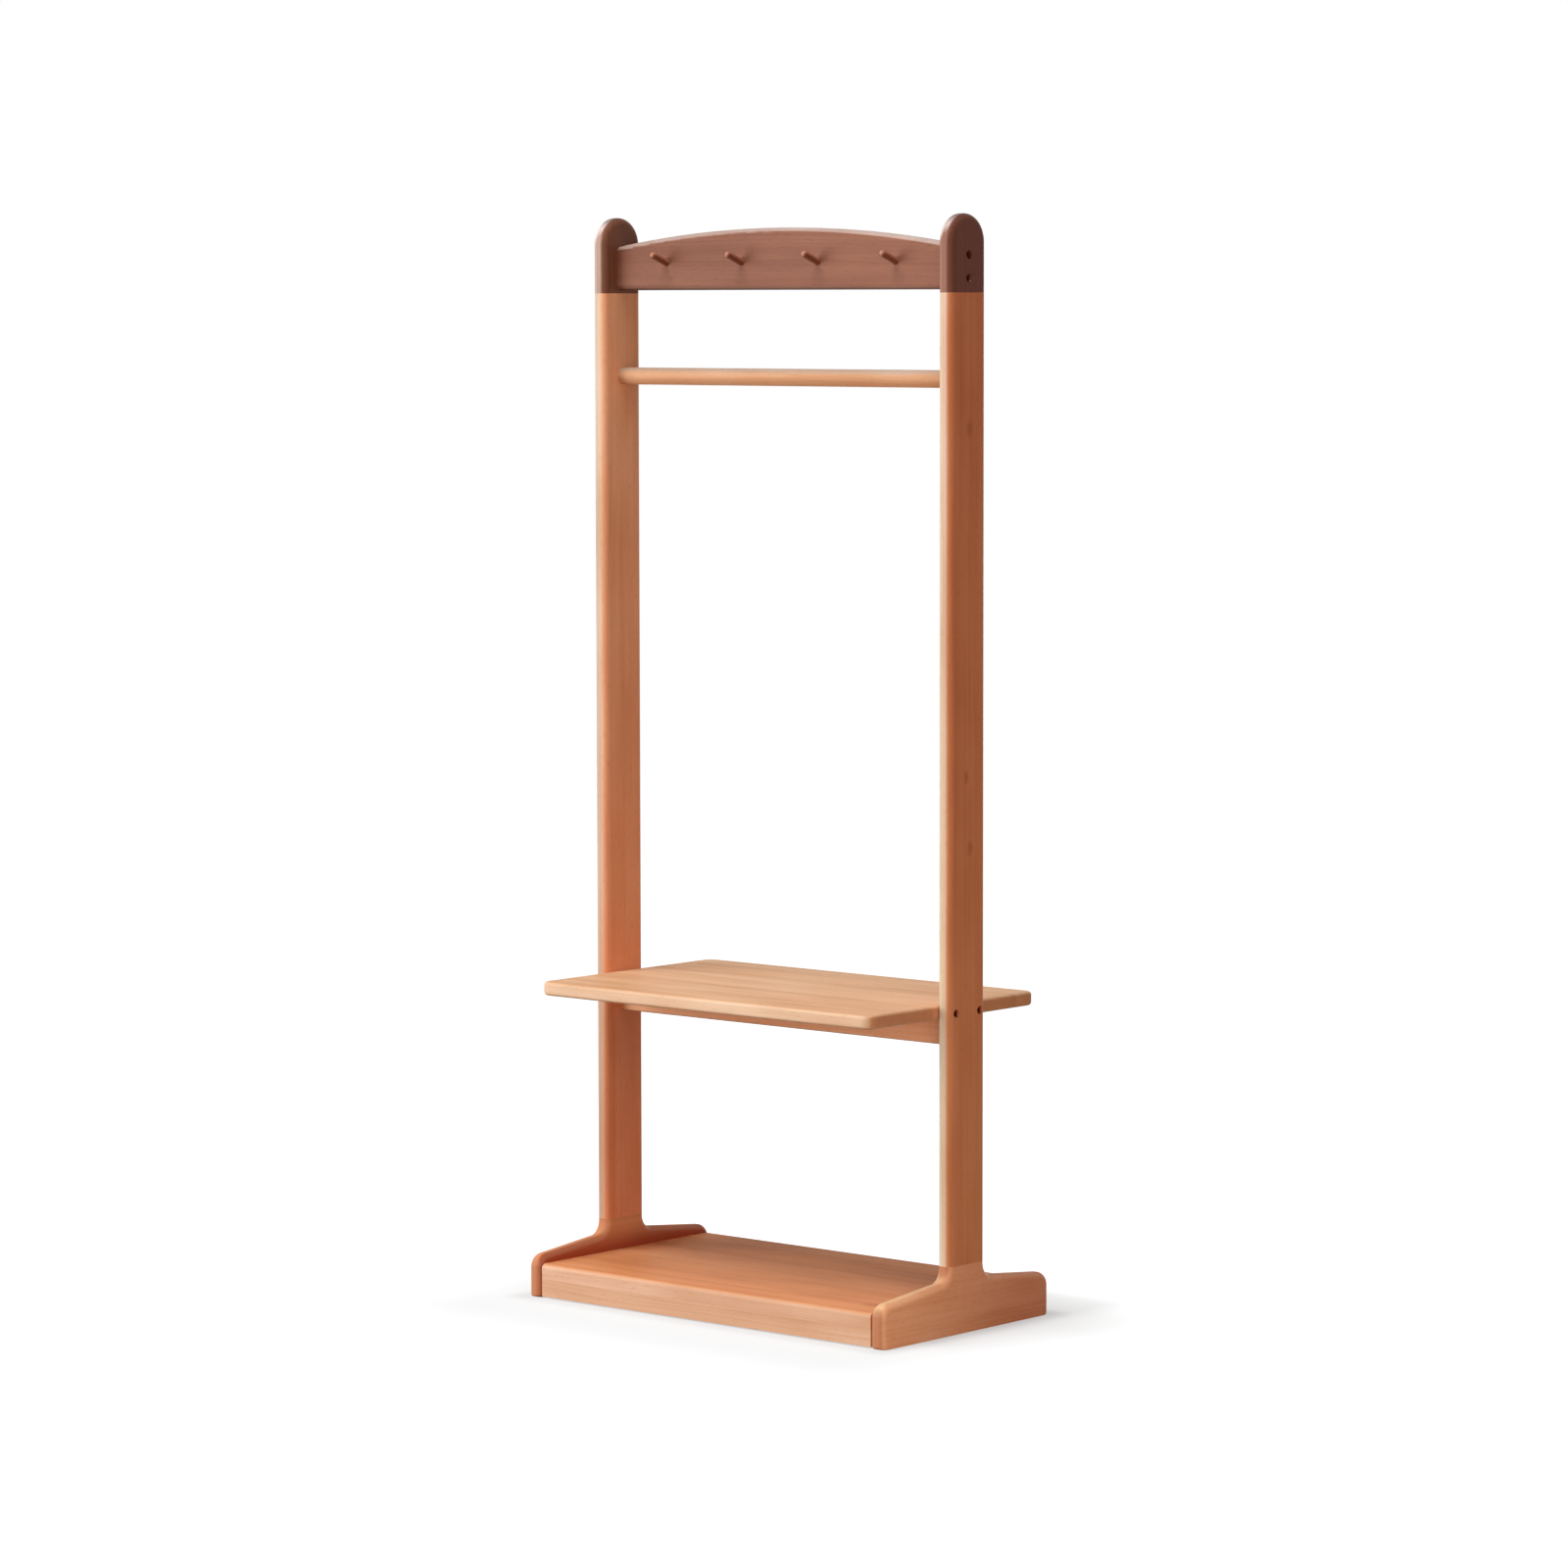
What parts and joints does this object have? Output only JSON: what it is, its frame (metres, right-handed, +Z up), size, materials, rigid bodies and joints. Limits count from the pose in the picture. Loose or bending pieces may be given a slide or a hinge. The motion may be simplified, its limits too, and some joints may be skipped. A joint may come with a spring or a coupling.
{
  "type": "childrens clothes rack",
  "caption": "Low free-standing wooden clothes rack with a hanging bar, a pegged arched top rail, a shelf and a base platform between two inverted-T side frames.",
  "frame": {"origin": "on the floor, at the middle of the rectangle that the two feet cover", "axes": "+Z up, +X towards the right-hand side frame, +Y towards the rear, so the pegs point towards -Y"},
  "size_m": [0.54, 0.3, 1.26],
  "materials": {
    "cherry": "clear satin lacquer on warm cherry-toned wood",
    "walnut": "clear satin lacquer on walnut",
    "birch": "bare sanded birch",
    "black_steel": "black oxide",
    "zinc_steel": "bright zinc plate"
  },
  "bodies": {
    "root": {"left_foot": "cherry", "right_foot": "cherry", "left_post": "cherry", "right_post": "cherry", "left_end_cap": "walnut", "right_end_cap": "walnut", "top_rail": "walnut", "peg_1": "walnut", "peg_2": "walnut", "peg_3": "walnut", "peg_4": "walnut", "hanging_bar": "cherry", "shelf": "cherry", "shelf_rail": "cherry", "base_board": "cherry", "front_apron": "cherry", "rear_apron": "cherry", "left_batten": "birch", "right_batten": "birch", "left_foot_dowels": "birch", "right_foot_dowels": "birch", "left_cap_dowels": "birch", "right_cap_dowels": "birch", "left_shelf_rail_dowels": "birch", "right_shelf_rail_dowels": "birch", "left_apron_dowels": "birch", "right_apron_dowels": "birch", "left_rail_bolts": "black_steel", "right_rail_bolts": "black_steel", "left_rail_nuts": "zinc_steel", "right_rail_nuts": "zinc_steel", "left_shelf_bolts": "black_steel", "right_shelf_bolts": "black_steel", "left_shelf_nuts": "zinc_steel", "right_shelf_nuts": "zinc_steel", "shelf_rail_screws": "zinc_steel", "left_batten_screws": "zinc_steel", "right_batten_screws": "zinc_steel"}
  },
  "joints": []
}
